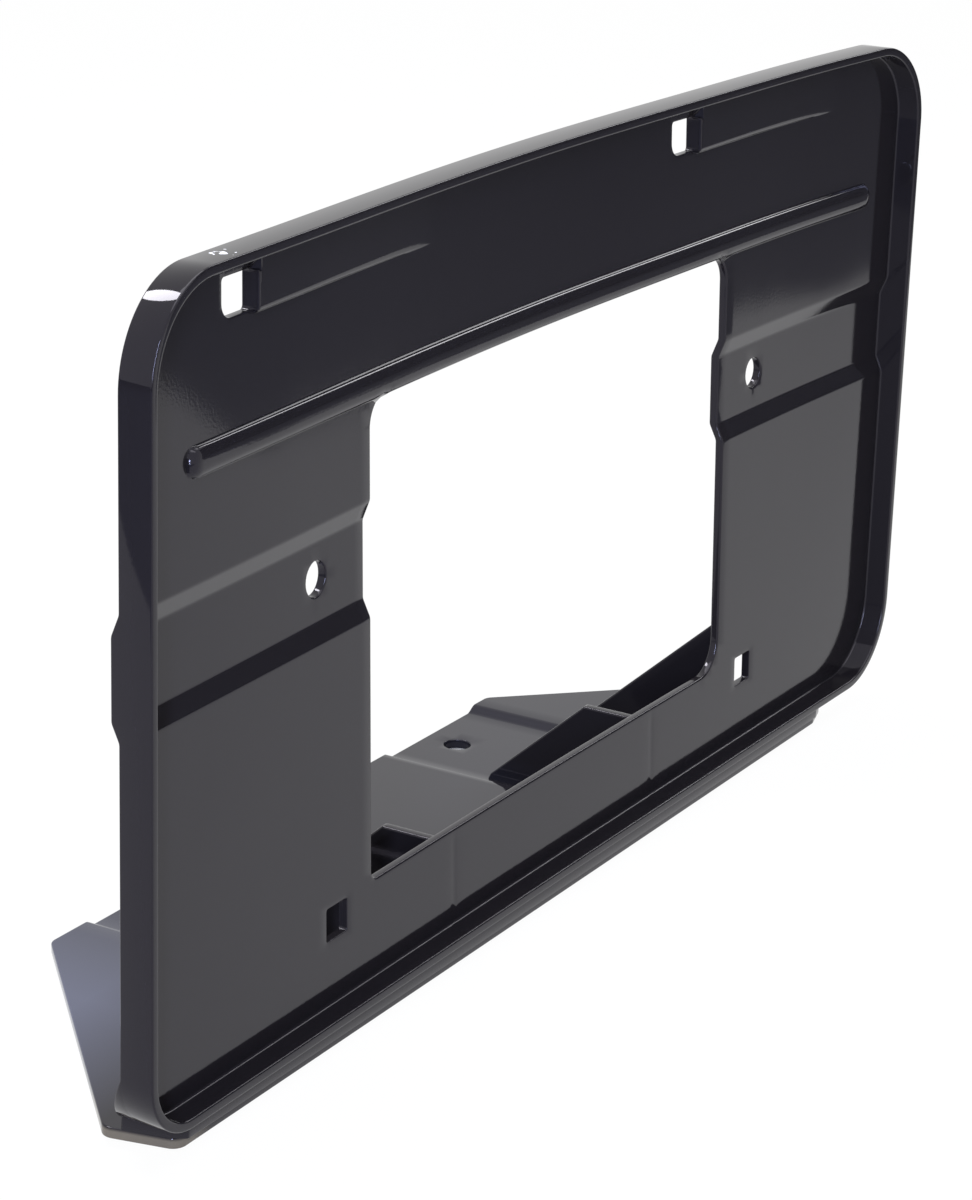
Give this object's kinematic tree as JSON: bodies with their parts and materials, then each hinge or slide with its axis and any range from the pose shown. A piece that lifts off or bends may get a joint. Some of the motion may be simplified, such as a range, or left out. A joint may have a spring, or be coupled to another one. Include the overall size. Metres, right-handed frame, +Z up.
{
  "type": "number plate holder",
  "caption": "One-piece moulded number plate holder: a shallow rimmed panel with a large window, bowed back in the middle, on a gusseted shelf with seats for bolts",
  "frame": {"origin": "midway between the two bolt holes, on the underside of the shelf's lowered seats", "axes": "+X to the right as one faces the plate, +Y back towards the car, +Z up"},
  "size_m": [0.318, 0.075, 0.1678],
  "materials": {
    "black_plastic": "black moulded plastic with a satin gloss, smooth on the rim and finely grained on the panel"
  },
  "bodies": {
    "root": {"plate_holder": "black_plastic"}
  },
  "joints": []
}
